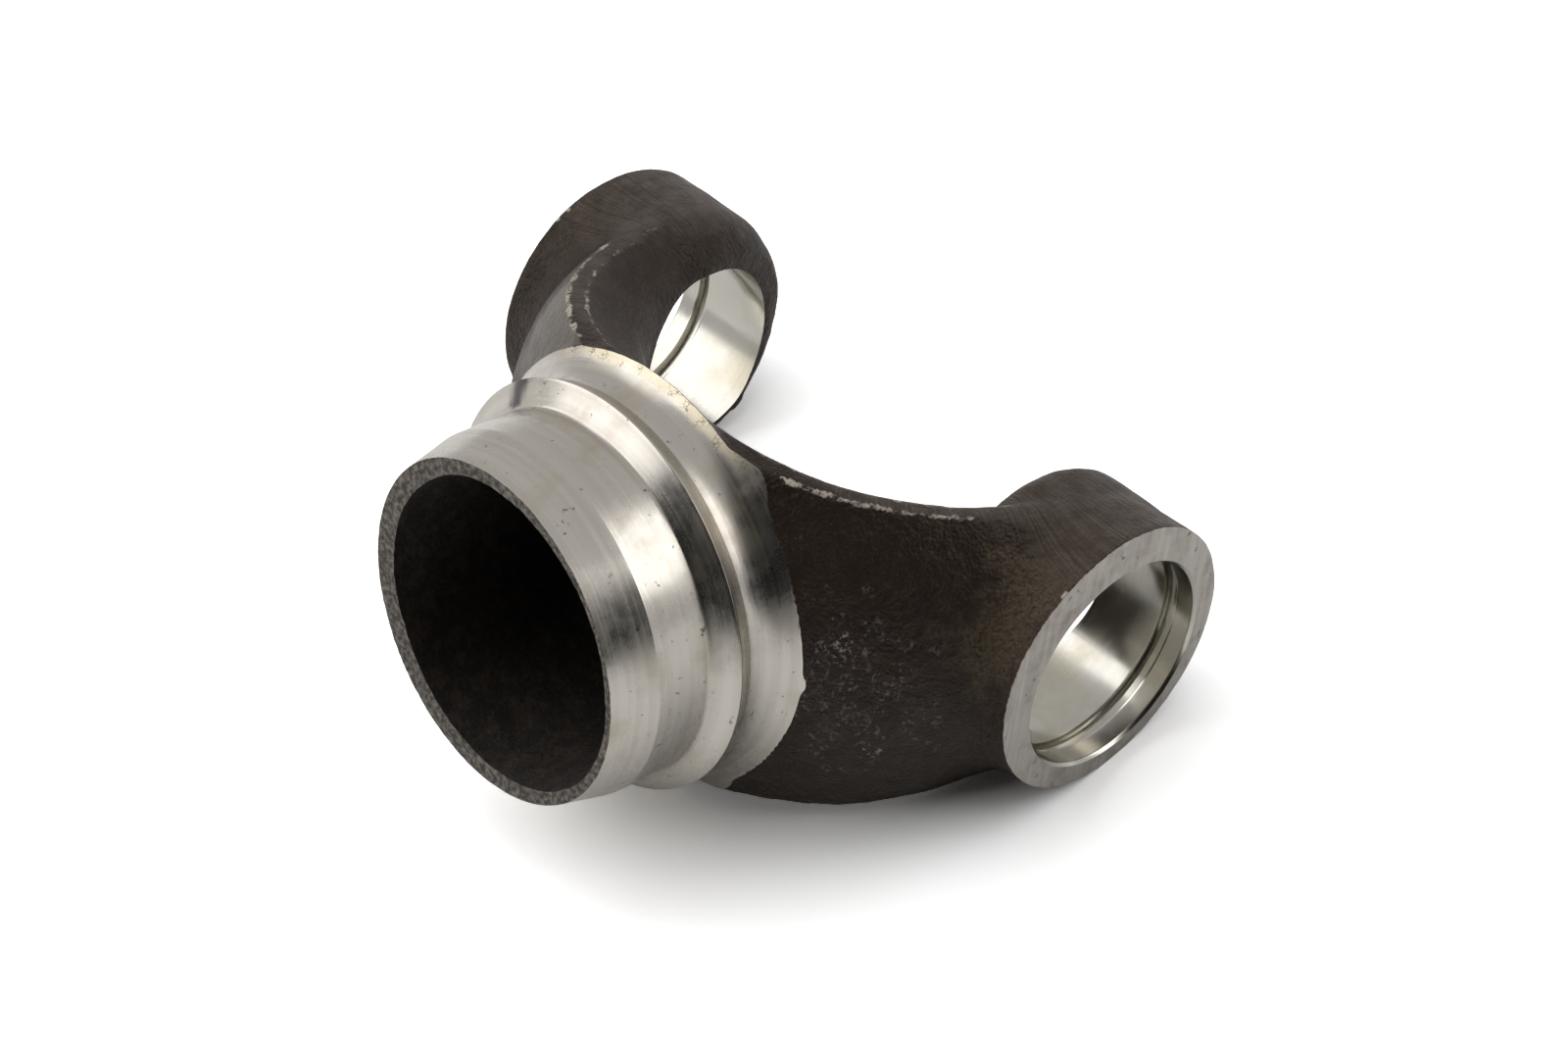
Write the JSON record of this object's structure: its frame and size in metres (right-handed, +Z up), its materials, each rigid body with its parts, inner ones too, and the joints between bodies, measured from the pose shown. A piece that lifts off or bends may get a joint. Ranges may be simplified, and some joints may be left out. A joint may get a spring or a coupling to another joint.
{
  "type": "universal joint tube yoke",
  "caption": "Forged universal joint yoke: two bored ears on a bow, and a turned hollow neck that a drive shaft tube is pushed over and welded to.",
  "frame": {"origin": "centre of the cross bore, midway between the outer faces of the two ears", "axes": "+Y along the cross bore; +Z up from the surface the yoke lies on; +X level, towards the open end of the neck, which rises 17.2 degrees above it"},
  "size_m": [0.0774, 0.091, 0.0523],
  "materials": {
    "forged_steel": "forged scale, with a turned neck and machined ears"
  },
  "bodies": {
    "root": {"yoke": "forged_steel"}
  },
  "joints": []
}
